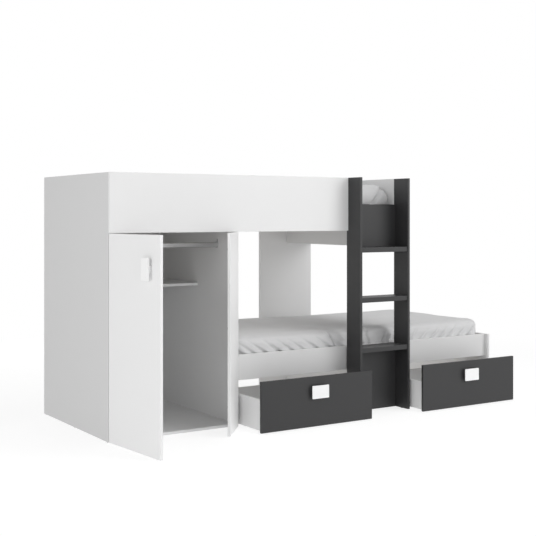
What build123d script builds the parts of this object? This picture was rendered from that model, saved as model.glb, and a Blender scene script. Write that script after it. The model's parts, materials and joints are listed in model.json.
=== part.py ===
"""Offset bunk bed in melamine board, with a wardrobe under the upper bunk, a ladder and two bed drawers.

X runs along the bed from the wardrobe end, Y runs into the room's wall, Z is up.
While it is built, X = 0 is the outer face of the left end panel, Y = 0 the front edge of the side panels
and Z = 0 the floor. The finished model is moved so that its origin is the centre of its footprint.
Doors and drawers stand as in use: both doors open and both drawers pulled out.
"""
import os
from math import cos, radians, sin, sqrt

from build123d import *

# Boards
board = 16.0
edge_break = 1.0
glide_height = 3.0
glide_radius = 6.0
cut_overrun = 2.0

# Mattresses, which set the frame's length and depth
mattress_length = 1900.0
upper_mattress_width = 900.0
upper_mattress_thickness = 118.0
lower_mattress_thickness = 140.0
mattress_corner = 60.0
mattress_edge = 28.0
soft_gap = 0.3
upper_end_gap = 6.0
upper_side_gap = 12.0
lower_length_play = 34.0
mattress_head_gap = 5.0
mattress_front_gap = 3.0

# Overall frame
upper_top = 1420.0
upper_underside = 1100.0
cross_underside = 1002.0
ladder_width = 384.0

# Lower bunk
rail_underside = 258.0
rail_top = 402.0
rail_recess = 12.0
rear_support_width = 422.0
cross_board_shift = 3.0

# Bearing strips and slats
ledger_depth = 20.0
ledger_height = 25.0
slat_thickness = 18.0
slat_width = 80.0
slat_end_gap = 2.0
ledger_end_gap = 2.0
upper_slats = 13
lower_slats = 13
lower_ledger_underside = 316.0

# Pillow
pillow_width = 410.0
pillow_height = 126.0
pillow_seam = 16.0
pillow_draw_in = 12.0
pillow_end_gap = 14.0
pillow_front_gap = 22.0
pillow_rear_gap = 28.0
pillow_station_shares = (-0.5, 0.0, 0.5)
pillow_height_shares = (0.34, 1.0, 0.34)
pillow_draw_shares = (0.0, 1.0, 0.0)

# Ladder
stile_depth = 134.0
tread_setback = 5.0
tread_thickness = 30.0
tread_pitch = 300.0
first_tread_top = 400.0
tread_count = 3
tread_nose = 3.0
ladder_guard_drop = 160.0

# Wardrobe
door_thickness = 16.0
door_back_gap = 1.5
door_floor_gap = 4.0
door_head_gap = 2.0
door_meeting_gap = 3.0
right_door_width = 276.0
shelf_top = 790.0
shelf_front = 426.0
shelf_side_gap = 0.5
shelf_pin_radius = 3.0
shelf_pin_length = 9.0
shelf_pin_inset = 60.0
rail_centre_y = 193.0
rail_centre_z = 1023.0
rail_tall = 30.0
rail_thick = 15.0
rail_wall = 1.2
bracket_plate = 2.0
bracket_reach = 10.0
bracket_wall = 2.0
bracket_fit = 0.2
bracket_tab_height = 20.0
bracket_tab_width = 10.0

# Concealed hinges, given for the left door while it is shut
hinge_heights_share = (0.09, 0.5, 0.91)
cup_radius = 17.5
cup_depth = 11.5
cup_wall = 1.0
cup_fit = 0.1
cup_edge_distance = 3.0
cup_flange = 1.0
cup_wing_width = 17.0
cup_wing_span = 62.0
arm_pin_x = 24.0
arm_pin_y = 0.0
cup_pin_x = 9.0
cup_pin_y = -5.0
link_bow_x = 16.5
link_bow_y = -8.0
hinge_pin_radius = 1.5
pin_running_gap = 0.1
link_eye_radius = 2.6
link_width = 3.0
link_height = 4.0
link_side_gap = 0.4
arm_height = 12.0
arm_back = 62.0
arm_nose_radius = 3.2
arm_proud = 13.0
plate_front = 20.0
plate_length = 34.0
plate_height = 32.0
plate_thickness = 2.0
link_turn_share = 0.41

# How far each door stands open
left_door_rest_degrees = 84.8
right_door_rest_degrees = 50.0

# Plate handles
handle_length = 113.0
handle_width = 73.0
handle_plate = 5.0
handle_stand = 22.0
handle_corner = 4.0
handle_foot_length = 34.0
handle_foot_width = 40.0
handle_neck_length = 74.0
handle_waist_share = 0.18
handle_waist_height_share = 0.7
drawer_handle_height = 200.0
door_handle_height = 928.0
door_handle_from_edge = 110.0

# Drawers
drawer_front_gap = 4.5
drawer_front_top = 285.0
drawer_floor_gap = 4.0
drawer_side = 12.0
drawer_side_inset = 12.0
drawer_side_underside = 12.0
drawer_side_top = 182.0
drawer_depth = 440.0
drawer_bottom = 8.0
drawer_bottom_underside = 46.0
drawer_groove = 5.0
drawer_rest = 235.0

# Drawer wheels
wheel_radius = 20.0
wheel_width = 12.0
axle_radius = 2.5
axle_running_gap = 0.1
fork_wall = 2.0
fork_gap = 1.0
fork_length = 32.0
fork_flange = 12.0
fork_ear_width = 12.0
wheel_inset_x = 70.0
wheel_inset_y = 60.0

# Places that follow from the sizes above
bed_depth = upper_mattress_width + 2 * upper_side_gap + board
pillow_length = upper_mattress_width - pillow_front_gap - pillow_rear_gap
upper_length = mattress_length + 2 * upper_end_gap + 2 * board
slot_width = (mattress_length + lower_length_play - ladder_width) / 2
wardrobe_width = upper_length - ladder_width - slot_width
lower_end_x = upper_length + slot_width + board
side_inner = board
wardrobe_side_x = wardrobe_width - board
ladder_left = wardrobe_width + slot_width
stile_right_x = upper_length - board
back_inner = bed_depth - board
lower_panel_x = lower_end_x - board
upper_base = upper_underside + ledger_height + slat_thickness
lower_base = lower_ledger_underside + ledger_height + slat_thickness
rail_back = rail_recess + board
lower_mattress_width = back_inner - rail_back - 2 * mattress_front_gap
rear_support_x = upper_length - rear_support_width
cross_board_x = (ladder_left + upper_length - board) / 2 - cross_board_shift
door_front = -door_back_gap - door_thickness
door_height = upper_underside - door_head_gap - door_floor_gap
left_door_width = wardrobe_width - right_door_width - door_meeting_gap
cup_centre_x = cup_edge_distance + cup_radius
wheel_axle_z = wheel_radius


def block(x, y, z, dx, dy, dz):
    """A plain box from its lowest corner."""
    return Pos(x, y, z) * Box(dx, dy, dz, align=(Align.MIN, Align.MIN, Align.MIN))


def panel(x, y, z, dx, dy, dz):
    """A board from its lowest corner, with its edges broken."""
    solid = block(x, y, z, dx, dy, dz)
    broken = min(edge_break, min(dx, dy, dz) / 4)
    return chamfer(solid.edges(), broken)


def upright(radius, height):
    """A cylinder along Z, centred."""
    return Cylinder(radius, height)


def lying_x(radius, length):
    """A cylinder along X, centred."""
    return Rot(0, 90, 0) * Cylinder(radius, length)


def group(solids):
    """Several separate solids that share one node."""
    return Compound(children=[piece.solid() if hasattr(piece, "solid") else piece for piece in solids])


def end_panels():
    """The side boards that stand at both ends and under the upper bunk's right end."""
    height = upper_top - glide_height
    short_height = upper_top - cross_underside
    low_height = rail_top - glide_height
    left = panel(0, 0, glide_height, board, bed_depth, height)
    upper_right = panel(stile_right_x, 0, cross_underside, board, back_inner, short_height)
    lower_right = panel(lower_panel_x, -board, glide_height, board, bed_depth + board, low_height)
    return {"left_end_panel": left, "upper_end_panel": upper_right, "lower_end_panel": lower_right}


def guards():
    """The long boards round the upper bunk."""
    tall = upper_top - upper_underside
    front = panel(0, -board, upper_underside, ladder_left, board, tall)
    rear = panel(side_inner, back_inner, upper_underside, upper_length - side_inner, board, tall)
    return {"front_guard": front, "rear_guard": rear}


def ladder():
    """Two stiles, the treads between them, the guard above and the kick board below."""
    inner_left = ladder_left + board
    inner_width = stile_right_x - inner_left
    height = upper_top - glide_height
    nodes = {
        "left_stile": panel(ladder_left, -stile_depth, glide_height, board, stile_depth, height),
        "right_stile": panel(stile_right_x, -stile_depth, glide_height, board, stile_depth, height),
    }
    tread_depth = stile_depth - tread_setback
    for number in range(tread_count):
        top = first_tread_top + number * tread_pitch
        underside = top - tread_thickness
        tread = block(inner_left, -tread_depth, underside, inner_width, tread_depth, tread_thickness)
        nose = tread.edges().filter_by(Axis.X).group_by(Axis.Y)[0]
        nodes[f"tread_{number + 1}"] = fillet(nose, tread_nose)
    last_top = first_tread_top + (tread_count - 1) * tread_pitch
    guard_height = upper_top - ladder_guard_drop - last_top
    nodes["ladder_guard"] = panel(inner_left, -board, last_top, inner_width, board, guard_height)
    kick_height = first_tread_top - tread_thickness - glide_height
    nodes["kick_board"] = panel(inner_left, -board, glide_height, inner_width, board, kick_height)
    return nodes


def supports():
    """The boards behind the ladder that tie the two bunks together."""
    rear_height = upper_underside - glide_height
    cross_height = upper_underside - cross_underside
    lower_height = rail_underside - glide_height
    return {
        "rear_support": panel(
            rear_support_x, back_inner, glide_height, rear_support_width, board, rear_height
        ),
        "upper_cross_board": panel(cross_board_x, 0, cross_underside, board, back_inner, cross_height),
        "lower_cross_board": panel(cross_board_x, 0, glide_height, board, back_inner, lower_height),
    }


def lower_rails():
    """The lower bunk's front rail, and its rear rail in two lengths beside the rear support."""
    tall = rail_top - rail_underside
    length = lower_panel_x - wardrobe_width
    front = panel(wardrobe_width, rail_recess, rail_underside, length, board, tall)
    left_length = rear_support_x - wardrobe_width
    right_length = lower_panel_x - upper_length
    rear_left = panel(wardrobe_width, back_inner, rail_underside, left_length, board, tall)
    rear_right = panel(upper_length, back_inner, rail_underside, right_length, board, tall)
    return {
        "lower_front_rail": front,
        "lower_rear_rail_left": rear_left,
        "lower_rear_rail_right": rear_right,
    }


def bed_base(x_start, x_end, front, underside, count):
    """Two bearing strips and a row of slats lying on them."""
    length = x_end - x_start
    strip_x = x_start + ledger_end_gap
    strip_length = length - 2 * ledger_end_gap
    strips = group([
        panel(strip_x, front, underside, strip_length, ledger_depth, ledger_height),
        panel(strip_x, back_inner - ledger_depth, underside, strip_length, ledger_depth, ledger_height),
    ])
    pitch = (length - slat_width) / (count - 1)
    slat_length = back_inner - front - 2 * slat_end_gap
    top = underside + ledger_height
    slats = group([
        panel(x_start + pitch * i, front + slat_end_gap, top, slat_width, slat_length, slat_thickness)
        for i in range(count)
    ])
    return strips, slats


def mattress(x, y, z, width, thickness):
    """A mattress with rounded corners and soft edges."""
    solid = block(x, y, z, mattress_length, width, thickness)
    solid = fillet(solid.edges().filter_by(Axis.Z), mattress_corner)
    rims = solid.faces().sort_by(Axis.Z)
    return fillet(rims[0].edges() + rims[-1].edges(), mattress_edge)


def pillow_section(station, height_share, draw_share):
    """One cross-section of the pillow, two arcs joined by the seam's short sides."""
    half = pillow_width / 2 - pillow_draw_in * draw_share
    seam = pillow_seam * height_share / 2
    crown = pillow_height * height_share / 2
    top = ThreePointArc((-half, seam), (0, crown), (half, seam))
    bottom = ThreePointArc((half, -seam), (0, -crown), (-half, -seam))
    outline = Wire([top, Line(top @ 1, bottom @ 0), bottom, Line(bottom @ 1, top @ 0)])
    plane = Plane(origin=(0, station, 0), x_dir=(1, 0, 0), z_dir=(0, -1, 0))
    return plane * make_face(outline)


def pillow(x, y, z):
    """A crowned pillow lying across the bunk, its long side along Y."""
    sections = [
        pillow_section(pillow_length * station, height, draw)
        for station, height, draw in zip(pillow_station_shares, pillow_height_shares, pillow_draw_shares)
    ]
    solid = loft(sections)
    return Pos(x, y, z - solid.bounding_box().min.Z) * solid


def bunks():
    """Bases, mattresses and the pillow."""
    upper_strips, upper_row = bed_base(side_inner, stile_right_x, 0, upper_underside, upper_slats)
    lower_strips, lower_row = bed_base(
        wardrobe_width, lower_panel_x, rail_back, lower_ledger_underside, lower_slats
    )
    upper_x = (side_inner + stile_right_x - mattress_length) / 2
    upper_y = (back_inner - upper_mattress_width) / 2
    upper_z = upper_base + soft_gap
    lower_x = wardrobe_width + mattress_head_gap
    lower_y = rail_back + mattress_front_gap
    pillow_x = upper_x + mattress_length - pillow_end_gap - pillow_width / 2
    pillow_y = upper_y + pillow_front_gap + pillow_length / 2
    pillow_z = upper_z + upper_mattress_thickness + soft_gap
    return {
        "upper_ledgers": upper_strips,
        "upper_slats": upper_row,
        "lower_ledgers": lower_strips,
        "lower_slats": lower_row,
        "upper_mattress": mattress(
            upper_x, upper_y, upper_z, upper_mattress_width, upper_mattress_thickness
        ),
        "lower_mattress": mattress(
            lower_x, lower_y, lower_base + soft_gap, lower_mattress_width, lower_mattress_thickness
        ),
        "pillow": pillow(pillow_x, pillow_y, pillow_z),
    }


def wardrobe_case():
    """The fixed boards of the wardrobe, its shelf and the pins that carry it."""
    inner_width = wardrobe_side_x - side_inner
    height = upper_underside - glide_height
    shelf_width = inner_width - 2 * shelf_side_gap
    shelf_z = shelf_top - board
    pins = []
    for x in (side_inner + shelf_pin_length / 2, wardrobe_side_x - shelf_pin_length / 2):
        for y in (shelf_front + shelf_pin_inset, back_inner - shelf_pin_inset):
            pins.append(Pos(x, y, shelf_z - shelf_pin_radius) * lying_x(shelf_pin_radius, shelf_pin_length))
    return {
        "wardrobe_side": panel(wardrobe_side_x, 0, glide_height, board, bed_depth, height),
        "wardrobe_base": panel(side_inner, 0, glide_height, inner_width, back_inner, board),
        "wardrobe_back": panel(side_inner, back_inner, glide_height, inner_width, board, height),
        "wardrobe_shelf": panel(
            side_inner + shelf_side_gap, shelf_front, shelf_z,
            shelf_width, back_inner - shelf_front, board,
        ),
        "shelf_pins": group(pins),
    }


def oval(tall, thick):
    """The hanging rail's flat-sided outline, tall along the sheet's Y."""
    return SlotOverall(tall, thick, rotation=90)


def rail_bracket():
    """A socket for the rail's end, on a plate with a screw tab above; it grows along +X from the board."""
    outer_tall = rail_tall + 2 * (bracket_wall + bracket_fit)
    outer_thick = rail_thick + 2 * (bracket_wall + bracket_fit)
    tab_top = outer_tall / 2 + bracket_tab_height / 2
    tab = Pos(0, tab_top / 2) * SlotOverall(tab_top + bracket_tab_width, bracket_tab_width, rotation=90)
    plate = extrude(Plane.YZ * (oval(outer_tall, outer_thick) + tab), bracket_plate)
    ring = oval(outer_tall, outer_thick) - oval(rail_tall + 2 * bracket_fit, rail_thick + 2 * bracket_fit)
    return plate + extrude(Plane.YZ * ring, bracket_reach)


def hanging_rail():
    """The oval tube and its two end brackets."""
    start = side_inner + bracket_plate
    end = wardrobe_side_x - bracket_plate
    inner = oval(rail_tall - 2 * rail_wall, rail_thick - 2 * rail_wall)
    tube = extrude(Plane.YZ * (oval(rail_tall, rail_thick) - inner), end - start)
    bracket = rail_bracket()
    left = Pos(side_inner, rail_centre_y, rail_centre_z) * bracket
    right = Pos(wardrobe_side_x, rail_centre_y, rail_centre_z) * Rot(0, 0, 180) * bracket
    return {
        "hanging_rail": Pos(start, rail_centre_y, rail_centre_z) * tube,
        "hanging_rail_brackets": group([left, right]),
    }


def hinge_levels():
    """Heights of the three hinges of a door."""
    return [door_floor_gap + door_height * share for share in hinge_heights_share]


def hinge_cup():
    """The dish let into the door, its two screwed wings, and the pin across it; door shut, level 0."""
    face = -door_back_gap
    centre = Pos(cup_centre_x, face, 0)
    outer = centre * Pos(0, -cup_depth / 2, 0) * Rot(90, 0, 0) * Cylinder(cup_radius, cup_depth)
    wings = centre * Pos(0, cup_flange / 2, 0) * Box(cup_wing_width, cup_flange, cup_wing_span)
    hollow_depth = cup_depth - cup_wall + cup_flange + cut_overrun
    hollow_at = centre * Pos(0, cup_flange + cut_overrun - hollow_depth / 2, 0)
    hollow = hollow_at * Rot(90, 0, 0) * Cylinder(cup_radius - cup_wall, hollow_depth)
    half_chord = sqrt((cup_radius - cup_wall / 2) ** 2 - (cup_centre_x - cup_pin_x) ** 2)
    pin = Pos(cup_pin_x, cup_pin_y, 0) * upright(hinge_pin_radius, 2 * half_chord)
    return outer + wings - hollow + pin


def hinge_link():
    """The bowed link between the arm's pin and the cup's pin; door shut, level 0."""
    bow = ThreePointArc((arm_pin_x, arm_pin_y), (link_bow_x, link_bow_y), (cup_pin_x, cup_pin_y))
    outline = SlotArc(bow, link_width)
    for x, y in ((arm_pin_x, arm_pin_y), (cup_pin_x, cup_pin_y)):
        outline += Pos(x, y) * Circle(link_eye_radius)
    for x, y in ((arm_pin_x, arm_pin_y), (cup_pin_x, cup_pin_y)):
        outline -= Pos(x, y) * Circle(hinge_pin_radius + pin_running_gap)
    return Pos(0, 0, -link_height / 2) * extrude(outline, link_height)


def hinge_arm():
    """The arm with its forked nose and pin, on the screwed plate; level 0."""
    base = side_inner + plate_thickness
    top = side_inner + arm_proud
    body = block(base, arm_nose_radius, -arm_height / 2, top - base, arm_back - arm_nose_radius, arm_height)
    ends = body.edges().filter_by(Axis.Z).group_by(Axis.X)[-1]
    body = fillet(ends, arm_nose_radius)
    nose = Pos(arm_pin_x, arm_pin_y, 0) * upright(arm_nose_radius, arm_height)
    neck_length = 2 * arm_nose_radius
    neck = block(
        arm_pin_x - arm_nose_radius, arm_pin_y, -arm_height / 2, neck_length, neck_length, arm_height
    )
    slot_height = link_height + 2 * link_side_gap
    slot_depth = arm_nose_radius + link_eye_radius + 2 * link_side_gap
    slot_length = arm_proud + cut_overrun
    slot = block(
        side_inner, arm_pin_y - slot_depth, -slot_height / 2, slot_length, 2 * slot_depth, slot_height
    )
    pin = Pos(arm_pin_x, arm_pin_y, 0) * upright(hinge_pin_radius, arm_height)
    plate = block(side_inner, plate_front, -plate_height / 2, plate_thickness, plate_length, plate_height)
    return body + nose + neck - slot + pin + plate


def cup_pin_place(opening):
    """Where the cup's pin stands when the left door is open by this many degrees."""
    turned = radians(opening * link_turn_share)
    dx = cup_pin_x - arm_pin_x
    dy = cup_pin_y - arm_pin_y
    return (
        arm_pin_x + dx * cos(turned) - dy * sin(turned),
        arm_pin_y + dx * sin(turned) + dy * cos(turned),
    )


def link_motion(opening):
    """Move of the left door's links from shut to this opening."""
    turned = opening * link_turn_share
    return Pos(arm_pin_x, arm_pin_y, 0) * Rot(0, 0, turned) * Pos(-arm_pin_x, -arm_pin_y, 0)


def door_motion(opening):
    """Move of the left door from shut to this opening."""
    x, y = cup_pin_place(opening)
    return Pos(x, y, 0) * Rot(0, 0, -opening) * Pos(-cup_pin_x, -cup_pin_y, 0)


def door_board(width):
    """A door hinged on the left, shut, with its cup holes."""
    solid = panel(0, door_front, door_floor_gap, width, door_thickness, door_height)
    depth = cup_depth + cut_overrun
    for level in hinge_levels():
        at = Pos(cup_centre_x, -door_back_gap - cup_depth - cup_fit + depth / 2, level)
        solid -= at * Rot(90, 0, 0) * Cylinder(cup_radius + cup_fit, depth)
    return solid


def handle():
    """A plate on a flared foot, its long side along X, standing out of a front along -Y from Y = 0."""
    plate = Pos(0, 0, handle_stand - handle_plate) * extrude(
        RectangleRounded(handle_length, handle_width, handle_corner), handle_plate
    )
    foot = handle_foot_length / 2
    neck = handle_neck_length / 2
    under = handle_stand - handle_plate
    inside = under + handle_plate / 2
    waist = foot + (neck - foot) * handle_waist_share
    rise = under * handle_waist_height_share
    right = ThreePointArc((foot, 0), (waist, rise), (neck, under))
    left = ThreePointArc((-neck, under), (-waist, rise), (-foot, 0))
    roof = Polyline((neck, under), (neck, inside), (-neck, inside), (-neck, under))
    outline = Wire([right, *roof.edges(), left, Line(left @ 1, right @ 0)])
    flank = make_face(outline)
    stem = Rot(90, 0, 0) * Pos(0, 0, -handle_foot_width / 2) * extrude(flank, handle_foot_width)
    return Rot(90, 0, 0) * (plate + stem)


def mirrored(solid):
    """The same piece for the right door, whose hinges stand on the wardrobe's right side."""
    return mirror(solid, about=Plane.YZ.offset(wardrobe_width / 2))


def doors():
    """Both doors at rest, with their hinges."""
    levels = hinge_levels()
    cups = group([Pos(0, 0, z) * hinge_cup() for z in levels])
    links = group([Pos(0, 0, z) * hinge_link() for z in levels])
    arms = group([Pos(0, 0, z) * hinge_arm() for z in levels])
    handle_at = Pos(left_door_width - door_handle_from_edge, door_front, door_handle_height)
    left_door = door_motion(left_door_rest_degrees)
    right_door = door_motion(right_door_rest_degrees)
    return {
        "left_door": left_door * door_board(left_door_width),
        "left_door_handle": left_door * handle_at * Rot(0, 90, 0) * handle(),
        "left_hinge_cups": left_door * cups,
        "left_hinge_links": link_motion(left_door_rest_degrees) * links,
        "left_hinge_arms": arms,
        "right_door": mirrored(right_door * door_board(right_door_width)),
        "right_hinge_cups": mirrored(right_door * cups),
        "right_hinge_links": mirrored(link_motion(right_door_rest_degrees) * links),
        "right_hinge_arms": mirrored(arms),
    }


def wheel():
    """One drawer wheel on its axle's line along X, with its bore."""
    bore = lying_x(axle_radius + axle_running_gap, wheel_width + cut_overrun)
    return lying_x(wheel_radius, wheel_width) - bore


def fork(underside):
    """The fork that carries one wheel: two ears, an axle and a plate screwed under the drawer's bottom."""
    inner = wheel_width / 2 + fork_gap
    outer = inner + fork_wall
    drop = underside - wheel_axle_z
    half_width = outer + fork_flange
    body = Pos(0, 0, drop) * block(
        -half_width, -fork_length / 2, -fork_wall, 2 * half_width, fork_length, fork_wall
    )
    root = fork_length / 2
    tip = fork_ear_width / 2
    outline = Polyline((-root, drop), (-tip, -tip), (tip, -tip), (root, drop), close=True)
    for x in (-outer, inner):
        body += Pos(x, 0, 0) * extrude(Plane.YZ * make_face(outline), fork_wall)
    return body + lying_x(axle_radius, 2 * outer)


def drawer(name, slot_x):
    """One bed drawer at rest, with its slot starting at this X."""
    pulled = Pos(0, -drawer_rest, 0)
    front_x = slot_x + drawer_front_gap
    front_width = slot_width - 2 * drawer_front_gap
    box_x = front_x + drawer_side_inset
    box_width = front_width - 2 * drawer_side_inset
    right_x = box_x + box_width - drawer_side
    inner_x = box_x + drawer_side
    inner_width = box_width - 2 * drawer_side
    side_height = drawer_side_top - drawer_side_underside
    back_y = drawer_depth - drawer_side
    groove_z = drawer_bottom_underside
    bottom_width = inner_width + 2 * drawer_groove
    bottom_depth = back_y + drawer_groove
    bottom = block(inner_x - drawer_groove, 0, groove_z, bottom_width, bottom_depth, drawer_bottom)
    front_height = drawer_front_top - drawer_floor_gap
    front = panel(front_x, -board, drawer_floor_gap, front_width, board, front_height)
    left = panel(box_x, 0, drawer_side_underside, drawer_side, drawer_depth, side_height) - bottom
    right = panel(right_x, 0, drawer_side_underside, drawer_side, drawer_depth, side_height) - bottom
    back = panel(inner_x, back_y, drawer_side_underside, inner_width, drawer_side, side_height) - bottom
    handle_at = Pos(front_x + front_width / 2, -board, drawer_handle_height)
    wheel_xs = (inner_x + wheel_inset_x, inner_x + inner_width - wheel_inset_x)
    front_wheel_y = wheel_inset_y
    rear_wheel_y = back_y - wheel_inset_y
    forks = [
        Pos(x, y, wheel_axle_z) * fork(drawer_bottom_underside)
        for x in wheel_xs for y in (front_wheel_y, rear_wheel_y)
    ]
    nodes = {
        "front": front,
        "left_side": left,
        "right_side": right,
        "back": back,
        "bottom": bottom,
        "handle": handle_at * handle(),
        "wheel_forks": group(forks),
    }
    for place, y in (("front", front_wheel_y), ("rear", rear_wheel_y)):
        nodes[f"{place}_wheels"] = group([Pos(x, y, wheel_axle_z) * wheel() for x in wheel_xs])
    return {f"{name}_{key}": pulled * solid for key, solid in nodes.items()}


def floor_glides():
    """The nail-on glides that the boards stand on."""
    near = glide_radius + board
    middle = bed_depth / 2
    far = bed_depth - near
    places = [(board / 2, y) for y in (near, middle, far)]
    places += [(wardrobe_side_x + board / 2, y) for y in (near, middle, far)]
    places += [(lower_panel_x + board / 2, y) for y in (near, middle, far)]
    places += [(ladder_left + board / 2, -stile_depth / 2), (stile_right_x + board / 2, -stile_depth / 2)]
    places += [(cross_board_x + board / 2, y) for y in (near, back_inner - near)]
    places += [(x, back_inner + board / 2) for x in (rear_support_x + near, upper_length - near)]
    solids = []
    for x, y in places:
        solids.append(Pos(x, y, glide_height / 2) * upright(glide_radius, glide_height))
    return {"floor_glides": group(solids)}


def build_nodes():
    """Every piece at rest, by node name."""
    nodes = {}
    for part in (end_panels(), guards(), ladder(), supports(), lower_rails(), bunks(), wardrobe_case()):
        nodes.update(part)
    nodes.update(hanging_rail())
    nodes.update(doors())
    nodes.update(drawer("left_drawer", wardrobe_width))
    nodes.update(drawer("right_drawer", upper_length))
    nodes.update(floor_glides())
    return nodes


def footprint_centre(nodes):
    """Centre of the finished model's box, in X and Y."""
    boxes = [solid.bounding_box() for solid in nodes.values()]
    centre_x = (min(b.min.X for b in boxes) + max(b.max.X for b in boxes)) / 2
    centre_y = (min(b.min.Y for b in boxes) + max(b.max.Y for b in boxes)) / 2
    return centre_x, centre_y


pieces = build_nodes()
centre_x, centre_y = footprint_centre(pieces)
os.makedirs("parts", exist_ok=True)
for node_name, piece in pieces.items():
    export_step(Pos(-centre_x, -centre_y, 0) * piece, f"parts/{node_name}.step")
print("nodes", len(pieces), "footprint centre", centre_x, centre_y)
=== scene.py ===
"""Looks of the offset bunk bed: boards, soft pieces, screw heads, light and camera."""
import json
import math

import bpy
import numpy as np
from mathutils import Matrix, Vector


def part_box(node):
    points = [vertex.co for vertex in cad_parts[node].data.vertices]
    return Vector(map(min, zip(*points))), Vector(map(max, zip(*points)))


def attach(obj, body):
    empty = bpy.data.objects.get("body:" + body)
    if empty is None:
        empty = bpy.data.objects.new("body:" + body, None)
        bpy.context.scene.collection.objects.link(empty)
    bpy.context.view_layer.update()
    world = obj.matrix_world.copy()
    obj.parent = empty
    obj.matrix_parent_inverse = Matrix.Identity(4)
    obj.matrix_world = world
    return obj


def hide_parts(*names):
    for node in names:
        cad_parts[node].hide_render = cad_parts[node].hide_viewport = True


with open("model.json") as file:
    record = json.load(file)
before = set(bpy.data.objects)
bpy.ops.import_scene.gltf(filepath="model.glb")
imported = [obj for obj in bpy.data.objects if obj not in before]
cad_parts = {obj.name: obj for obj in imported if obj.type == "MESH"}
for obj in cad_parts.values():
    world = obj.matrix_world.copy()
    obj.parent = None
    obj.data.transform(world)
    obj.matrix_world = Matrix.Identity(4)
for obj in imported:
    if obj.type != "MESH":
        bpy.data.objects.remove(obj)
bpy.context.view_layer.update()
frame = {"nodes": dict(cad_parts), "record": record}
nodes = frame["nodes"]
record = frame["record"]
slot_of = {s["node"]: s["material_slot"] for s in record["subparts"]}
scene = bpy.context.scene


# Camera, found from the two vanishing points of the photograph

CAMERA_PLACE = (-3.5675, -5.1890, 1.1966)
CAMERA_YAW = 32.706
CAMERA_LENS = 68.98
CAMERA_SENSOR = 36.0
CAMERA_SHIFT = -0.0995
CAMERA_FAR = 200.0


def add_camera():
    """A level camera with a small downward shift."""
    data = bpy.data.cameras.new("camera")
    data.lens = CAMERA_LENS
    data.sensor_width = CAMERA_SENSOR
    data.shift_y = CAMERA_SHIFT
    data.clip_end = CAMERA_FAR
    camera = bpy.data.objects.new("camera", data)
    camera.location = CAMERA_PLACE
    camera.rotation_euler = (math.pi / 2, 0, -math.radians(CAMERA_YAW))
    scene.collection.objects.link(camera)
    scene.camera = camera


add_camera()


# Node helpers

def coordinates(tree, stretch=(1, 1, 1)):
    """Object coordinates in metres, stretched along each axis."""
    source = tree.nodes.new("ShaderNodeTexCoord")
    mapping = tree.nodes.new("ShaderNodeMapping")
    mapping.inputs["Scale"].default_value = stretch
    tree.links.new(source.outputs["Object"], mapping.inputs["Vector"])
    return mapping.outputs["Vector"]


def noise_texture(tree, vector, scale, detail=3.0, roughness=0.5):
    """A fractal noise between 0 and 1."""
    node = tree.nodes.new("ShaderNodeTexNoise")
    node.inputs["Scale"].default_value = scale
    node.inputs["Detail"].default_value = detail
    node.inputs["Roughness"].default_value = roughness
    tree.links.new(vector, node.inputs["Vector"])
    return node.outputs["Fac"]


def ramp(tree, value, low, high):
    """Maps 0..1 of a value to low..high."""
    node = tree.nodes.new("ShaderNodeMapRange")
    node.inputs["To Min"].default_value = low
    node.inputs["To Max"].default_value = high
    tree.links.new(value, node.inputs["Value"])
    return node.outputs["Result"]


def mix_values(tree, first, second, share):
    """The first value, with a fixed share of the second in it."""
    node = tree.nodes.new("ShaderNodeMix")
    node.inputs["Factor"].default_value = share
    tree.links.new(first, node.inputs["A"])
    tree.links.new(second, node.inputs["B"])
    return node.outputs["Result"]


def combine(tree, operation, first, second):
    """Two values put together by a named operation."""
    node = tree.nodes.new("ShaderNodeMath")
    node.operation = operation
    tree.links.new(first, node.inputs[0])
    tree.links.new(second, node.inputs[1])
    return node.outputs["Value"]


def set_colour(tree, shader, value, dark, light):
    """The shader's colour, between dark and light by a value."""
    node = tree.nodes.new("ShaderNodeMix")
    node.data_type = "RGBA"
    node.inputs["A"].default_value = (*dark, 1)
    node.inputs["B"].default_value = (*light, 1)
    tree.links.new(value, node.inputs["Factor"])
    tree.links.new(node.outputs["Result"], shader.inputs["Base Color"])


def set_roughness(tree, shader, value, rough, spread):
    """The shader's roughness, a spread to each side of rough by a value."""
    tree.links.new(ramp(tree, value, rough - spread, rough + spread), shader.inputs["Roughness"])


def bump(tree, shader, height, strength, distance):
    """Bump from a height value."""
    node = tree.nodes.new("ShaderNodeBump")
    node.inputs["Strength"].default_value = strength
    node.inputs["Distance"].default_value = distance
    tree.links.new(height, node.inputs["Height"])
    tree.links.new(node.outputs["Normal"], shader.inputs["Normal"])


def grey(value):
    """A colour without tint."""
    return (value, value, value)


def toned(colour, share):
    """A colour made darker or lighter by a share, at most white."""
    return tuple(min(1.0, c * share) for c in colour)


# Materials

materials = {}


def new_material(name):
    """A material, kept in the table under its name; gives its node tree and its shader."""
    material = bpy.data.materials.new(name)
    material.use_nodes = True
    materials[name] = material
    tree = material.node_tree
    return tree, tree.nodes["Principled BSDF"]


def board_material(name, base, spread, rough, pearl, specular=0.35):
    """Melamine-faced board: a faint cloudy tone, a fine pressed pearl texture and uneven sheen."""
    tree, shader = new_material(name)
    place = coordinates(tree)
    cloud = noise_texture(tree, place, scale=3.0, detail=4.0)
    grain = noise_texture(tree, place, scale=420.0, detail=2.0)
    tone = mix_values(tree, cloud, grain, share=0.45)
    set_colour(tree, shader, tone, toned(base, 1 - spread), toned(base, 1 + spread))
    set_roughness(tree, shader, cloud, rough, spread=0.05)
    shader.inputs["Specular IOR Level"].default_value = specular
    pressed = noise_texture(tree, place, scale=900.0, detail=2.0)
    bump(tree, shader, pressed, strength=pearl, distance=0.0002)


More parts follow.
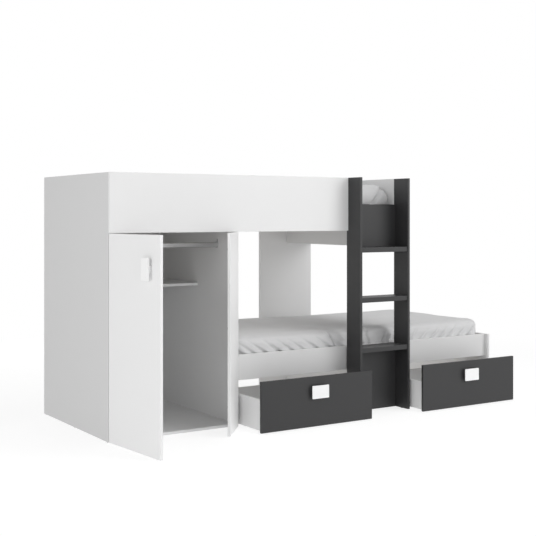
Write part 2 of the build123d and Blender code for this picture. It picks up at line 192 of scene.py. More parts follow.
def wood_material(name, dark, light):
    """Sanded wood with its grain along Y."""
    tree, shader = new_material(name)
    rings = noise_texture(tree, coordinates(tree, (60.0, 2.5, 60.0)), scale=1.0, detail=5.0, roughness=0.6)
    fibre = noise_texture(tree, coordinates(tree, (900.0, 12.0, 900.0)), scale=1.0, detail=2.0)
    grain = ramp(tree, mix_values(tree, rings, fibre, share=0.3), low=-0.6, high=1.6)
    set_colour(tree, shader, grain, dark, light)
    shader.inputs["Roughness"].default_value = 0.6
    bump(tree, shader, fibre, strength=0.25, distance=0.0003)


def metal_material(name, tone, rough, stretch):
    """Plated or brushed steel with fine marks, drawn out along the axis of least stretch."""
    tree, shader = new_material(name)
    marks = noise_texture(tree, coordinates(tree, stretch), scale=1.0, detail=3.0)
    set_colour(tree, shader, marks, toned(grey(tone), 0.85), toned(grey(tone), 1.1))
    set_roughness(tree, shader, marks, rough, spread=0.08)
    shader.inputs["Metallic"].default_value = 1.0
    bump(tree, shader, marks, strength=0.15, distance=0.0001)


def plastic_material(name, tone, rough, grain):
    """Moulded plastic with a fine spark-eroded grain."""
    tree, shader = new_material(name)
    place = coordinates(tree)
    fine = noise_texture(tree, place, scale=1500.0, detail=2.0)
    set_colour(tree, shader, fine, toned(grey(tone), 0.94), toned(grey(tone), 1.04))
    set_roughness(tree, shader, noise_texture(tree, place, scale=60.0), rough, spread=0.06)
    bump(tree, shader, fine, strength=grain, distance=0.0001)


def fabric_material(name, base, weave_scale):
    """Plain-woven cotton: warp and weft threads, fuzz at grazing angles and a soft uneven tone."""
    tree, shader = new_material(name)
    place = coordinates(tree)
    waves = []
    for axis in ("X", "Y"):
        wave = tree.nodes.new("ShaderNodeTexWave")
        wave.wave_type = "BANDS"
        wave.bands_direction = axis
        wave.inputs["Scale"].default_value = weave_scale
        wave.inputs["Distortion"].default_value = 0.6
        wave.inputs["Detail"].default_value = 1.0
        tree.links.new(place, wave.inputs["Vector"])
        waves.append(wave.outputs["Fac"])
    weave = combine(tree, "MULTIPLY", waves[0], waves[1])
    cloud = noise_texture(tree, place, scale=14.0, detail=5.0, roughness=0.6)
    tone = mix_values(tree, cloud, weave, share=0.25)
    set_colour(tree, shader, tone, toned(base, 0.95), toned(base, 1.04))
    shader.inputs["Roughness"].default_value = 0.92
    shader.inputs["Specular IOR Level"].default_value = 0.2
    shader.inputs["Sheen Weight"].default_value = 0.25
    shader.inputs["Sheen Roughness"].default_value = 0.5
    bump(tree, shader, weave, strength=0.2, distance=0.0004)


WHITE = grey(0.81)
# Painted light: a brighter copy of the same white board, so the open doors read lighter than the lamps
# alone make them
PAINTED_LIGHT_WHITE = grey(0.9)
# Painted shade: a darker copy of the same white board, so the left end panel reads darker than the lamps
# alone make it
PAINTED_SHADE_WHITE = grey(0.69)
HARDBOARD_WHITE = grey(0.78)
ANTHRACITE = (0.026, 0.026, 0.027)
SLAT_DARK = (0.64, 0.59, 0.52)
SLAT_LIGHT = (0.83, 0.80, 0.75)
SHEET_WHITE = (0.72, 0.72, 0.725)
CASE_WHITE = (0.64, 0.64, 0.645)

board_material("white_board", WHITE, spread=0.02, rough=0.45, pearl=0.10)
# Painted light: the doors' brighter copy of the white board
board_material("white_board_painted_light", PAINTED_LIGHT_WHITE, spread=0.015, rough=0.42, pearl=0.08)
# Painted shade: the left end panel's darker copy of the white board
board_material("white_board_painted_shade", PAINTED_SHADE_WHITE, spread=0.02, rough=0.5, pearl=0.12)
board_material("anthracite_board", ANTHRACITE, spread=0.12, rough=0.48, pearl=0.12, specular=0.48)
board_material("drawer_hardboard", HARDBOARD_WHITE, spread=0.02, rough=0.5, pearl=0.10)
wood_material("slat_wood", SLAT_DARK, SLAT_LIGHT)
fabric_material("mattress_cover", SHEET_WHITE, weave_scale=70.0)
fabric_material("pillow_cotton", CASE_WHITE, weave_scale=85.0)
plastic_material("white_handle", tone=0.98, rough=0.3, grain=0.05)
metal_material("hinge_steel", tone=0.62, rough=0.3, stretch=(400.0, 400.0, 20.0))
metal_material("rail_steel", tone=0.55, rough=0.32, stretch=(6.0, 500.0, 500.0))
metal_material("fork_steel", tone=0.55, rough=0.4, stretch=(200.0, 200.0, 200.0))
plastic_material("wheel_plastic", tone=0.045, rough=0.5, grain=0.2)
plastic_material("glide_plastic", tone=0.35, rough=0.55, grain=0.2)

# Painted light and shade: the doors get the brighter copy and the left end panel the darker copy of the
# same white board
PAINTED_LIGHT_AND_SHADE_LOOKS = {"left_door": "white_board_painted_light", "right_door": "white_board_painted_light", "left_end_panel": "white_board_painted_shade"}
for name, piece in nodes.items():
    look = PAINTED_LIGHT_AND_SHADE_LOOKS.get(name, slot_of[name])
    piece.data.materials.clear()
    piece.data.materials.append(materials[look])


# Meshes as arrays

TINY = 1e-9
TINY_AREA = 1e-12


def add_piece(name, vertices, faces, material):
    """A smooth mesh object in the scene."""
    mesh = bpy.data.meshes.new(name)
    mesh.from_pydata([tuple(v) for v in vertices], [], faces)
    mesh.validate()
    mesh.materials.append(material)
    mesh.polygons.foreach_set("use_smooth", [True] * len(mesh.polygons))
    piece = bpy.data.objects.new(name, mesh)
    scene.collection.objects.link(piece)
    return piece


def points_of(piece):
    """A mesh's vertices as a new array."""
    values = np.empty(len(piece.data.vertices) * 3)
    piece.data.vertices.foreach_get("co", values)
    return values.reshape(-1, 3)


def set_points(piece, points):
    """Writes an array back to a mesh's vertices."""
    piece.data.vertices.foreach_set("co", np.asarray(points, float).reshape(-1))
    piece.data.update()


def quads_of(piece):
    """The vertex numbers of a mesh's quads."""
    values = np.empty(len(piece.data.polygons) * 4, dtype=np.int32)
    piece.data.loops.foreach_get("vertex_index", values)
    return values.reshape(-1, 4)


def normals_of(points, quads):
    """Area-weighted vertex normals."""
    p = points[quads]
    face = np.cross(p[:, 2] - p[:, 0], p[:, 3] - p[:, 1])
    result = np.zeros_like(points)
    for k in range(4):
        np.add.at(result, quads[:, k], face)
    return result / np.maximum(np.linalg.norm(result, axis=1), TINY_AREA)[:, None]


def centre_and_half(node):
    """The middle of a CAD node's box and half its size."""
    low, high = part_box(node)
    return np.array((low + high) / 2), np.array((high - low) / 2)


def box_grid(half, step):
    """Vertices and quads of a closed box, divided to about one step, its centre at the origin."""
    counts = [max(2, int(round(2 * h / step))) for h in half]
    index = {}
    vertices = []

    def vertex(key):
        """The number of the vertex at a grid place, made at its first use."""
        if key not in index:
            index[key] = len(vertices)
            vertices.append([(2 * k / n - 1) * h for k, n, h in zip(key, counts, half)])
        return index[key]

    faces = []
    for axis in range(3):
        u, v = [i for i in range(3) if i != axis]
        for side in (0, counts[axis]):
            for i in range(counts[u]):
                for j in range(counts[v]):
                    ring = []
                    for a, b in ((i, j), (i + 1, j), (i + 1, j + 1), (i, j + 1)):
                        key = [0, 0, 0]
                        key[axis], key[u], key[v] = side, a, b
                        ring.append(vertex(tuple(key)))
                    outward = (side > 0) == (axis != 1)
                    faces.append(ring if outward else ring[::-1])
    return np.array(vertices), faces


def rounded(points, half, corner, rim):
    """Moves a box's surface onto a mattress form: round corners in plan and a soft rim above and below."""
    out = points.copy()
    inner = np.array([half[0] - corner, half[1] - corner])
    flat = points[:, :2]
    core = np.clip(flat, -inner, inner)
    away = flat - core
    reach = np.linalg.norm(away, axis=1)
    largest = np.abs(away).max(axis=1)
    scale = np.where(reach > 0, largest / np.maximum(reach, TINY), 1.0)
    away = away * scale[:, None]
    plan = core + away
    depth = corner - np.linalg.norm(away, axis=1)
    inside = (np.abs(flat) < inner).all(axis=1)
    straight = np.minimum(half[0] - np.abs(flat[:, 0]), half[1] - np.abs(flat[:, 1]))
    depth = np.where(inside, straight, np.minimum(depth, straight))
    direction = np.where(np.linalg.norm(away, axis=1)[:, None] > TINY, away, 0)
    direction = direction / np.maximum(np.linalg.norm(direction, axis=1), TINY)[:, None]
    on_cap = np.abs(np.abs(points[:, 2]) - half[2]) < TINY
    below = half[2] - np.abs(points[:, 2])
    cap_turn = np.clip(1 - depth / rim, 0, 1) * math.pi / 4
    side_turn = math.pi / 4 + np.clip(below / rim, 0, 1) * math.pi / 4
    turn = np.where(on_cap, cap_turn, side_turn)
    near = np.where(on_cap, depth < rim, below < rim)
    target = rim * (1 - np.sin(turn))
    push = np.where(near, np.where(on_cap, target - depth, target), 0)
    out[:, :2] = plan - direction * push[:, None]
    drop = np.where(near, rim * (1 - np.cos(turn)), 0)
    level = np.where(on_cap | near, half[2] - drop, np.abs(points[:, 2]))
    out[:, 2] = np.sign(points[:, 2]) * level
    return out


def wander(values, seed, rate):
    """A smooth one-dimensional wander between about -1 and 1: three waves, each finer and weaker."""
    total = np.zeros_like(values)
    for octave in range(3):
        total += np.sin(values * rate * 1.7 ** octave + seed * (octave + 1.3)) / 1.6 ** octave
    return total / 2.0


def smooth_step(low, high, values):
    """0 at low, 1 at high and a smooth rise between; high may be the smaller one."""
    t = np.clip((values - low) / (high - low), 0, 1)
    return t * t * (3 - 2 * t)


# Cloth

def relax(piece, hold, frames, pressure, cap):
    """Lets cloth settle from its built form, held where hold says, each point within the cap."""
    start = points_of(piece)
    group = piece.vertex_groups.new(name="held")
    weights = np.round(hold, 1)
    for weight in sorted(set(weights[weights > 0])):
        group.add(np.nonzero(weights == weight)[0].tolist(), float(weight), "REPLACE")
    cloth = piece.modifiers.new("cloth", "CLOTH")
    settings = cloth.settings
    settings.quality = 5
    settings.mass = 0.25
    settings.tension_stiffness = 18
    settings.compression_stiffness = 18
    settings.shear_stiffness = 6
    settings.bending_stiffness = 0.6
    settings.use_pressure = True
    settings.uniform_pressure_force = pressure
    settings.effector_weights.gravity = 0.0
    settings.vertex_group_mass = "held"
    cloth.point_cache.frame_start = 1
    cloth.point_cache.frame_end = frames
    for number in range(1, frames + 1):
        scene.frame_set(number)
    moved = points_of(piece.evaluated_get(bpy.context.evaluated_depsgraph_get()))
    piece.modifiers.remove(cloth)
    piece.vertex_groups.remove(group)
    scene.frame_set(1)
    change = moved - start
    size = np.linalg.norm(change, axis=1)
    change *= np.minimum(1, cap / np.maximum(size, TINY))[:, None]
    set_points(piece, start + change)


def refine(piece):
    """Divides a settled piece once, so that finer folds can be laid into it."""
    division = piece.modifiers.new("refine", "SUBSURF")
    division.levels = 1
    shown = piece.evaluated_get(bpy.context.evaluated_depsgraph_get())
    finer = bpy.data.meshes.new_from_object(shown)
    piece.modifiers.remove(division)
    coarse = piece.data
    piece.data = finer
    bpy.data.meshes.remove(coarse)


def finish_soft(piece, node):
    """Puts a settled soft piece in the place of its CAD solid."""
    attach(piece, "frame")
    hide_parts(node)


# Mattresses in fitted sheets

SHEET_STEP = 0.010
UPPER_SHEET_STEP = 0.016
SHEET_FRAMES = 14
SHEET_PRESSURE = 0.9
SHEET_CAP = 0.005
FOOT_HELD = 0.03

MATTRESS_CORNER = 0.060
MATTRESS_RIM = 0.034
TOP_FADE = 0.03
SWELL_RISE = 0.0022
RIDGE_RISE = 0.0022
RIDGE_INSET = 0.075
RIDGE_WANDER = 0.012
RIDGE_WIDTH = 0.016
RIDGE_OFTEN = 0.4
RIDGE_SHOWS = (0.1, 0.6)
CROWN = 0.004

EDGE_FADE = 0.060
EDGE_FULL = 0.004
SIDE_SPACING = 0.088
END_SPACING = 0.095
END_SHARE = 0.8
SIDE_SLACK = 0.002
LEFT_LEAN = -1.5
RIGHT_LEAN = 1.0
LEAN_TURNS = (-0.22, 0.28)
UNEVEN_SPACING = 0.3
POCKET_TOP = 0.012
POCKET_OPEN = 0.105
FOLD_WIDTH = 0.005
FOLD_WIDENING = 0.009
SLOW_SIDE = 1.9
WEAKEST_FOLD = 0.45
FOLD_CHANGE = 0.55
OPENING_CURVE = 0.8
SWELL_SHARE = 0.16
SINK_SHARE = 0.1

PLEAT_EDGE = 0.003
PLEAT_FADE = 0.055
PLEAT_TOP = (-0.006, 0.012)
STEP_SHARE = 0.6
GROOVE_SHARE = 2.8
GROOVE_WIDTH = 0.0048

# Each pleat has its place, as a share of half the length, its lean and its depth
LOWER_PLEATS = ((-0.300, 0.38, 0.011), (0.02, -0.5, 0.004))
UPPER_PLEATS = ((-0.1, 0.3, 0.003),)


def shaped_top(points, normal, half, seed):
    """A mattress with a crown, a slight swell and a ridge that comes and goes along its long edges."""
    x, y = points[:, 0], points[:, 1]
    top = smooth_step(TOP_FADE, 0.0, half[2] - points[:, 2])
    broad = wander(x * 1.3 + y, seed, rate=4.0)
    narrow = wander(y * 1.7 - x * 0.4, seed + 1.0, rate=6.0)
    swell = SWELL_RISE * (broad + narrow)
    ridge_line = half[1] - np.abs(y) - RIDGE_INSET - RIDGE_WANDER * wander(x, seed + 2.0, rate=3.0)
    ridge_here = smooth_step(*RIDGE_SHOWS, wander(x, seed + 4.0, rate=2.4) + RIDGE_OFTEN)
    ridge = RIDGE_RISE * np.exp(-((ridge_line / RIDGE_WIDTH) ** 2)) * ridge_here
    shaped = points + normal * (top * (swell + ridge))[:, None]
    crown = CROWN * (1 - (x / half[0]) ** 2) * (1 - (y / half[1]) ** 2)
    shaped[:, 2] += np.where(shaped[:, 2] > 0, crown - CROWN, 0)
    return shaped


def pockets(along, down, half, seed, spacing, depth):
    """Pulled folds of a fitted sheet: they lean outward to both ends and open into pockets below."""
    lean = LEFT_LEAN + (RIGHT_LEAN - LEFT_LEAN) * smooth_step(*LEAN_TURNS, along / half)
    path = along + lean * down
    phase = path / spacing + UNEVEN_SPACING * wander(path, seed, rate=8.0)
    number = np.round(phase)
    offset = (phase - number) * spacing
    opening = smooth_step(POCKET_TOP, POCKET_OPEN, down)
    width = FOLD_WIDTH + FOLD_WIDENING * opening
    width = np.where(offset > 0, width, SLOW_SIDE * width)
    strength = WEAKEST_FOLD + FOLD_CHANGE * np.abs(np.sin(number * 2.4 + seed))
    dip = np.exp(-((offset / width) ** 2)) * opening ** OPENING_CURVE * strength
    swell = SWELL_SHARE * np.cos(2 * math.pi * phase) * opening
    return -depth * (dip + swell + SINK_SHARE * opening)


def pleat(along, down, place, lean, depth):
    """One flap of cloth that lies over the next: a groove and a step inward that fades out to its right."""
    offset = along - place - lean * down
    step = smooth_step(-PLEAT_EDGE, PLEAT_EDGE, offset) * smooth_step(PLEAT_FADE, 0.0, offset)
    groove = np.exp(-((offset / GROOVE_WIDTH) ** 2))
    return -depth * (STEP_SHARE * step + GROOVE_SHARE * groove) * smooth_step(*PLEAT_TOP, down)


def folded_sides(points, normal, half, seed, depth, pleats):
    """A settled mattress with the folds and pleats of its sheet laid into the sides."""
    x, y = points[:, 0], points[:, 1]
    down = half[2] - points[:, 2]
    long_side = smooth_step(EDGE_FADE, EDGE_FULL, half[1] - np.abs(y))
    end_side = smooth_step(EDGE_FADE, EDGE_FULL, half[0] - np.abs(x)) * (1 - long_side)
    move = long_side * pockets(x * np.sign(-y), down, half[0], seed, SIDE_SPACING, depth)
    move += end_side * pockets(y * np.sign(x), down, half[1], seed + 3.0, END_SPACING, END_SHARE * depth)
    for place, lean, fall in pleats:
        move += long_side * (y < 0) * pleat(x, down, place * half[0], lean, fall)
    folded = points + normal * move[:, None]
    room = half[:2] + SIDE_SLACK
    folded[:, :2] = np.clip(folded[:, :2], -room, room)
    folded[:, 2] = np.maximum(folded[:, 2], -half[2])
    return folded


def make_mattress(node, seed, step, depth, pleats):
    """A mattress in a fitted sheet: settled as cloth, then pulled into leaning folds along its sides."""
    centre, half = centre_and_half(node)
    flat, faces = box_grid(half, step)
    points = rounded(flat, half, MATTRESS_CORNER, MATTRESS_RIM)
    points = shaped_top(points, normals_of(points, np.array(faces)), half, seed)
    piece = add_piece(node + "_sheet", points, faces, materials[slot_of[node]])
    hold = smooth_step(FOOT_HELD, 0.0, points[:, 2] + half[2])
    relax(piece, hold, SHEET_FRAMES, SHEET_PRESSURE, SHEET_CAP)
    refine(piece)
    settled = points_of(piece)
    normal = normals_of(settled, quads_of(piece))
    set_points(piece, folded_sides(settled, normal, half, seed, depth, pleats) + centre)
    finish_soft(piece, node)


make_mattress("lower_mattress", seed=1.0, step=SHEET_STEP, depth=0.015, pleats=LOWER_PLEATS)
make_mattress("upper_mattress", seed=4.0, step=UPPER_SHEET_STEP, depth=0.010, pleats=UPPER_PLEATS)


# Pillow in its case

PILLOW_STEP = 0.011
PILLOW_FRAMES = 24
PILLOW_PRESSURE = 5.0
PILLOW_CAP = 0.035
PILLOW_CORNER = 0.075
PILLOW_RIM = 0.052
EDGE_THICKNESS = 0.66
MIDDLE_GAIN = 0.34
LENGTH_CURVE = 5.0
WIDTH_CURVE = 3.2
CASE_WANDER = 0.003
PLAN_SPREAD = 0.42
PILLOW_SUNK = 0.55

# Each crease has its reach from the corner, its turn to one side and its depth
CORNER_CREASES = ((0.16, 0.10, 0.014), (0.13, -0.07, 0.011), (0.20, 0.02, 0.008))
CREASE_INSET = 0.012
CREASE_WIDTH = 0.010
CREASE_FADE = 0.02
CREASED_HEIGHT = (-0.6, 0.2)

EAR_FOLD_START = 0.061
EAR_FOLD_DROP = 0.046
EAR_FOLD_LEAN = 0.8
EAR_FOLD_WIDTH = 0.009
EAR_FOLD_SLOW_SIDE = 2.2
EAR_FOLD_DEPTH = 0.028
EAR_FOLD_REACH = (0.11, 0.05)
EAR_FOLD_TOP = (0.012, 0.04)


def pillow_form(flat, half):
    """A rounded box that is thickest in the middle, with a slightly uneven surface."""
    points = rounded(flat, half, PILLOW_CORNER, PILLOW_RIM)
    across = 1 - np.abs(points[:, 0] / half[0]) ** WIDTH_CURVE
    rise = across * (1 - np.abs(points[:, 1] / half[1]) ** LENGTH_CURVE)
    points[:, 2] *= EDGE_THICKNESS + MIDDLE_GAIN * np.sqrt(np.clip(rise, 0, 1))
    uneven = wander(points[:, 0] + 0.7 * points[:, 1], seed=3.0, rate=20.0)
    points[:, 2] += CASE_WANDER * uneven * np.sign(points[:, 2])
    return points


def laid_down(points, half):
    """Fits a settled pillow to its box: full towards the sides, and flat where it lies."""
    span = (points.max(axis=0) - points.min(axis=0)) / 2
    middle = (points.max(axis=0) + points.min(axis=0)) / 2
    laid = (points - middle) / span
    laid[:, :2] *= 1 + PLAN_SPREAD * (1 - laid[:, :2] ** 2)
    laid[:, :2] *= half[:2]
    laid[:, 2] = np.maximum(laid[:, 2], -1 + PILLOW_SUNK)
    laid[:, 2] = (laid[:, 2] + 1 - PILLOW_SUNK) / (2 - PILLOW_SUNK) * 2 * half[2] - half[2]
    return laid


def crease(points, start, end, width, depth):
    """Inward push of a crease along the line from start to end, in plan."""
    along = np.array(end) - np.array(start)
    length = np.linalg.norm(along)
    along = along / length
    away = points[:, :2] - np.array(start)
    run = away @ along
    side = away @ np.array((-along[1], along[0]))
    ends = smooth_step(-CREASE_FADE, CREASE_FADE, run)
    ends = ends * smooth_step(length + CREASE_FADE, length - CREASE_FADE, run)
    return -depth * ends * np.exp(-((side / width) ** 2))


def corner_creases(points, half):
    """Inward push of the creases that run from the four corners."""
    move = np.zeros(len(points))
    for sign_x in (-1, 1):
        for sign_y in (-1, 1):
            corner = np.array((sign_x * half[0], sign_y * half[1]))
            inward = np.array((-sign_x, -sign_y))
            for reach, turn, push in CORNER_CREASES:
                target = corner + inward * (reach + turn, reach - turn)
                move += crease(points, corner + CREASE_INSET * inward, target, CREASE_WIDTH, push)
    return move


def ear_fold(points, half):
    """Push to the rear of the leaning fold beside the corner at the front right."""
    from_side = half[0] - points[:, 0]
    from_end = half[1] + points[:, 1]
    under_top = half[2] - points[:, 2]
    groove = from_side - EAR_FOLD_START - EAR_FOLD_LEAN * (under_top - EAR_FOLD_DROP)
    fold = np.exp(-((groove / np.where(groove < 0, EAR_FOLD_SLOW_SIDE, 1) / EAR_FOLD_WIDTH) ** 2))
    fold *= smooth_step(*EAR_FOLD_REACH, from_end) * smooth_step(*EAR_FOLD_TOP, under_top)
    return EAR_FOLD_DEPTH * fold


def make_pillow(node):
    """A full pillow in its case, settled as cloth and drawn in at the corners."""
    centre, half = centre_and_half(node)
    flat, faces = box_grid(half, PILLOW_STEP)
    points = pillow_form(flat, half)
    piece = add_piece(node + "_case", points, faces, materials[slot_of[node]])
    relax(piece, np.zeros(len(points)), PILLOW_FRAMES, PILLOW_PRESSURE, PILLOW_CAP)
    refine(piece)
    settled = laid_down(points_of(piece), half)
    normal = normals_of(settled, quads_of(piece))
    upper = smooth_step(CREASED_HEIGHT[0] * half[2], CREASED_HEIGHT[1] * half[2], settled[:, 2])
    settled = settled + normal * (upper * corner_creases(settled, half))[:, None]
    settled[:, 1] += ear_fold(settled, half)
    settled[:, 2] = np.maximum(settled[:, 2], -half[2])
    set_points(piece, settled + centre)
    finish_soft(piece, node)


make_pillow("pillow")


# Screw heads

SCREW_SIDES = 24
SCREW_RISE = 0.0011
CROSS_REACH = 0.55
CROSS_HALF = 0.12
CROSS_TIP = 0.1
HEAD_SMALL = 0.0031
HEAD_LARGE = 0.0042


def screw_head(radius):
    """A low head with a cross recess, as rings of points round +Z."""
    turn = np.arange(SCREW_SIDES) * 2 * np.pi / SCREW_SIDES
    ring = np.stack((np.cos(turn), np.sin(turn)), 1)
    lean = np.minimum(np.mod(turn, np.pi / 2), np.pi / 2 - np.mod(turn, np.pi / 2))
    cross = np.where(lean < CROSS_TIP, CROSS_REACH, CROSS_HALF / np.sin(np.maximum(lean, CROSS_TIP)))
    # Shares of the radius and of the rise: foot, shoulder, top, and the recess's edge and floor
    rings = ((1.0, 0.0), (0.98, 0.55), (0.82, 1.0), (cross, 1.0), (0.8 * cross, 0.25))
    points = []
    for share, rise in rings:
        flat = ring * (np.ones(SCREW_SIDES) * share * radius)[:, None]
        points.append(np.column_stack((flat, np.full(SCREW_SIDES, rise * SCREW_RISE))))
    points.append(np.array([(0, 0, 0.2 * SCREW_RISE)]))
    last = (len(rings) - 1) * SCREW_SIDES
    faces = []
    for start in range(0, last, SCREW_SIDES):
        for i in range(SCREW_SIDES):
            j = (i + 1) % SCREW_SIDES
            faces.append((start + i, start + j, start + SCREW_SIDES + j, start + SCREW_SIDES + i))
    for i in range(SCREW_SIDES):
        faces.append((last + i, last + (i + 1) % SCREW_SIDES, last + SCREW_SIDES))
    return np.concatenate(points), faces


def add_screws(name, body, look_of, radius, places):
    """One piece with a screw head at each (point, outward direction), riding on a body."""
    head, head_faces = screw_head(radius)
    vertices = []
    faces = []
    for point, outward in places:
        turn = np.array(Vector(outward).to_track_quat("Z", "Y").to_matrix())
        start = len(vertices) * len(head)
        vertices.append(head @ turn.T + np.array(point))
        faces += [tuple(start + i for i in face) for face in head_faces]
    piece = add_piece(name, np.concatenate(vertices), faces, materials[slot_of[look_of]])
    piece.data.polygons.foreach_set("use_smooth", [False] * len(faces))
    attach(piece, body)


PLATE_HALF = 0.016
PLATE_THICK = 0.002
PLATE_SCREW = 0.011
PLATE_MIDDLE = 0.0249
ARM_SCREW = 0.015


def arm_screws(node, board_x, outward):
    """Two screws through each hinge plate and the clamping screw on each arm."""
    low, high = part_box(node)
    top_x = high.x if outward > 0 else low.x
    back = high.y
    places = []
    for level in (low.z + PLATE_HALF, (low.z + high.z) / 2, high.z - PLATE_HALF):
        for side in (-1, 1):
            place = (board_x + outward * PLATE_THICK, back - PLATE_MIDDLE, level + side * PLATE_SCREW)
            places.append((place, (outward, 0, 0)))
        places.append(((top_x, back - ARM_SCREW, level), (outward, 0, 0)))
    add_screws(node + "_screws", "frame", node, HEAD_SMALL, places)


# Degrees that the doors stand open at rest
LEFT_OPENING = 84.8
RIGHT_OPENING = 50.0

WING_SCREW = 0.0245
CUP_HALF_SPAN = 0.031
HANDLE_SCREW = 0.008


def door_directions(opening, handed):
    """An open door's directions in plan: from its hinges outward, and out of its inner face."""
    angle = np.radians(opening)
    along = np.array((handed * np.cos(angle), -np.sin(angle), 0))
    inward = np.array((handed * np.sin(angle), np.cos(angle), 0))
    return along, inward


def middle_of(values):
    """Half way between the smallest and the largest value."""
    return (values.min() + values.max()) / 2


def screw_pairs(along, inward, run, plane, levels, shift):
    """Two screws in a door's inner face, one below and one above each level."""
    places = []
    for level in levels:
        for side in (-shift, shift):
            places.append((along * run + inward * plane + np.array((0, 0, level + side)), inward))
    return places


def cup_screws(side, opening, handed):
    """The screws in the wings of a door's three hinge cups."""
    along, inward = door_directions(opening, handed)
    cups = points_of(nodes[side + "_hinge_cups"])
    low, high = cups[:, 2].min() + CUP_HALF_SPAN, cups[:, 2].max() - CUP_HALF_SPAN
    levels = (low, (low + high) / 2, high)
    places = screw_pairs(along, inward, middle_of(cups @ along), (cups @ inward).max(), levels, WING_SCREW)
    add_screws(side + "_cup_screws", side + "_door", side + "_hinge_cups", HEAD_SMALL, places)


def door_handle_screws():
    """The two screws that hold the left door's handle, on the door's inner face."""
    along, inward = door_directions(LEFT_OPENING, 1)
    plate = points_of(nodes["left_door_handle"])
    face = (points_of(nodes["left_door"]) @ inward).max()
    levels = (middle_of(plate[:, 2]),)
    places = screw_pairs(along, inward, middle_of(plate @ along), face, levels, HANDLE_SCREW)
    add_screws("left_door_handle_screws", "left_door", "left_hinge_cups", HEAD_LARGE, places)


def drawer_screws(side):
    """The two screws that hold a drawer's handle, on the inner face of the front."""
    low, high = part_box(side + "_drawer_handle")
    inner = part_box(side + "_drawer_front")[1].y
    middle = (low.x + high.x) / 2
    level = (low.z + high.z) / 2
    places = [((middle + shift, inner, level), (0, 1, 0)) for shift in (-HANDLE_SCREW, HANDLE_SCREW)]
    add_screws(side + "_drawer_handle_screws", side + "_drawer", "left_hinge_cups", HEAD_LARGE, places)


TAB_SCREW_DROP = 0.005


def bracket_screws():
    """One screw in the tab of each of the rail's brackets."""
    low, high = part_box("hanging_rail_brackets")
    middle = (low.y + high.y) / 2
    level = high.z - TAB_SCREW_DROP
    left = ((low.x + PLATE_THICK, middle, level), (1, 0, 0))
    right = ((high.x - PLATE_THICK, middle, level), (-1, 0, 0))
    add_screws("rail_bracket_screws", "frame", "hanging_rail_brackets", HEAD_SMALL, [left, right])


LEDGER_DEPTH = 0.020
LEDGER_SCREWS = 6


def ledger_screws(node):
    """A row of screws through the front and the rear bearing strip."""
    low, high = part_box(node)
    level = (low.z + high.z) / 2
    places = []
    for i in range(LEDGER_SCREWS):
        x = low.x + (high.x - low.x) * (i + 0.5) / LEDGER_SCREWS
        places.append(((x, low.y + LEDGER_DEPTH, level), (0, 1, 0)))
        places.append(((x, high.y - LEDGER_DEPTH, level), (0, -1, 0)))
    add_screws(node + "_screws", "frame", "left_hinge_cups", HEAD_LARGE, places)


arm_screws("left_hinge_arms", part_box("left_end_panel")[1].x, 1)
arm_screws("right_hinge_arms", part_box("wardrobe_side")[0].x, -1)
cup_screws("left", LEFT_OPENING, 1)
door_handle_screws()
cup_screws("right", RIGHT_OPENING, -1)
bracket_screws()
drawer_screws("left")
drawer_screws("right")
ledger_screws("lower_ledgers")
ledger_screws("upper_ledgers")


# Light, floor and background

WORLD_LIGHT = 0.26
FLOOR_GLOW = 0.76
FLOOR_TONE = 0.36
FLOOR_BOUNCE = 0.6
FLOOR_LIT = 0.46
FADE_START = 2.4
FADE_END = 4.5
STAGE_SIZE = 120.0


def emission(tree, strength):
    """A white glow."""
    node = tree.nodes.new("ShaderNodeEmission")
    node.inputs["Strength"].default_value = strength
    return node.outputs["Emission"]


def diffuse(tree, tone):
    """A matt grey."""
    node = tree.nodes.new("ShaderNodeBsdfDiffuse")
    node.inputs["Color"].default_value = (*grey(tone), 1)
    return node.outputs["BSDF"]


def add_shaders(tree, first, second):
    """The light of both shaders together."""
    node = tree.nodes.new("ShaderNodeAddShader")
    tree.links.new(first, node.inputs[0])
    tree.links.new(second, node.inputs[1])
    return node.outputs["Shader"]


def mix_shaders(tree, share, first, second):
    """The first shader where the share is 0, the second where it is 1."""
    node = tree.nodes.new("ShaderNodeMixShader")
    tree.links.new(share, node.inputs["Fac"])
    tree.links.new(first, node.inputs[1])
    tree.links.new(second, node.inputs[2])
    return node.outputs["Shader"]


def camera_like(tree):
    """1 for rays that are seen directly, mirrored or through glass, 0 for the rays that light."""
    path = tree.nodes.new("ShaderNodeLightPath")
    seen = combine(tree, "MAXIMUM", path.outputs["Is Camera Ray"], path.outputs["Is Glossy Ray"])
    return combine(tree, "MAXIMUM", seen, path.outputs["Is Transmission Ray"])


def add_world():
    """White where it is seen, a plain grey as a source of light."""
    world = bpy.data.worlds.new("studio")
    scene.world = world
    world.use_nodes = True
    tree = world.node_tree
    lit = tree.nodes["Background"]
    seen = tree.nodes.new("ShaderNodeBackground")
    for node, strength in ((lit, WORLD_LIGHT), (seen, 1.0)):
        node.inputs["Color"].default_value = (1, 1, 1, 1)
        node.inputs["Strength"].default_value = strength
    mix = mix_shaders(tree, camera_like(tree), lit.outputs["Background"], seen.outputs["Background"])
    tree.links.new(mix, tree.nodes["World Output"].inputs["Surface"])


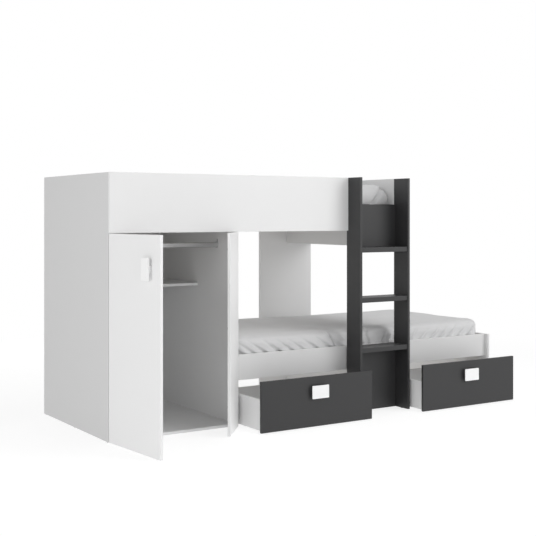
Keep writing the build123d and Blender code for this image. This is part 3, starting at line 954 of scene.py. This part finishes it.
def floor_material():
    """Seen, it is white with a soft shadow near the object; to the light it is a glowing grey."""
    material = bpy.data.materials.new("studio_floor")
    material.use_nodes = True
    tree = material.node_tree
    tree.nodes.remove(tree.nodes["Principled BSDF"])
    distance = tree.nodes.new("ShaderNodeVectorMath")
    distance.operation = "LENGTH"
    tree.links.new(coordinates(tree), distance.inputs[0])
    fade = tree.nodes.new("ShaderNodeMapRange")
    fade.interpolation_type = "SMOOTHSTEP"
    fade.inputs["From Min"].default_value = FADE_START
    fade.inputs["From Max"].default_value = FADE_END
    tree.links.new(distance.outputs["Value"], fade.inputs["Value"])
    near = add_shaders(tree, emission(tree, FLOOR_GLOW), diffuse(tree, FLOOR_TONE))
    seen = mix_shaders(tree, fade.outputs["Result"], near, emission(tree, 1.0))
    unseen = add_shaders(tree, diffuse(tree, FLOOR_BOUNCE), emission(tree, FLOOR_LIT))
    final = mix_shaders(tree, camera_like(tree), unseen, seen)
    tree.links.new(final, tree.nodes["Material Output"].inputs["Surface"])
    return material


def add_floor():
    """A white floor that keeps a soft shadow near the object and fades into the background."""
    mesh = bpy.data.meshes.new("floor")
    half = STAGE_SIZE / 2
    corners = [(-half, -half, 0), (half, -half, 0), (half, half, 0), (-half, half, 0)]
    mesh.from_pydata(corners, [], [(0, 1, 2, 3)])
    mesh.materials.append(floor_material())
    floor = bpy.data.objects.new("floor", mesh)
    scene.collection.objects.link(floor)


def add_light(name, place, aim, size, power):
    """A square soft light that looks from place to aim."""
    data = bpy.data.lights.new(name, "AREA")
    data.shape = "SQUARE"
    data.size = size
    data.energy = power
    light = bpy.data.objects.new(name, data)
    light.location = place
    light.rotation_euler = (Vector(aim) - Vector(place)).to_track_quat("-Z", "Y").to_euler()
    scene.collection.objects.link(light)


add_world()
add_floor()
add_light("key_light", (4.4, -6.0, 3.8), aim=(0.2, -0.2, 0.6), size=4.2, power=180)
add_light("left_light", (-7.2, -2.1, 2.6), aim=(-1.2, -0.1, 0.6), size=3.0, power=116)
add_light("low_fill", (-3.4, -6.8, 0.9), aim=(0.4, -0.1, 0.5), size=4.0, power=96)
add_light("back_light", (0.6, 5.2, 1.9), aim=(0.3, 0.2, 0.5), size=3.4, power=70)
add_light("top_light", (1.0, -1.6, 5.6), aim=(0.5, -0.2, 0.6), size=4.0, power=88)
scene.view_settings.view_transform = "Standard"
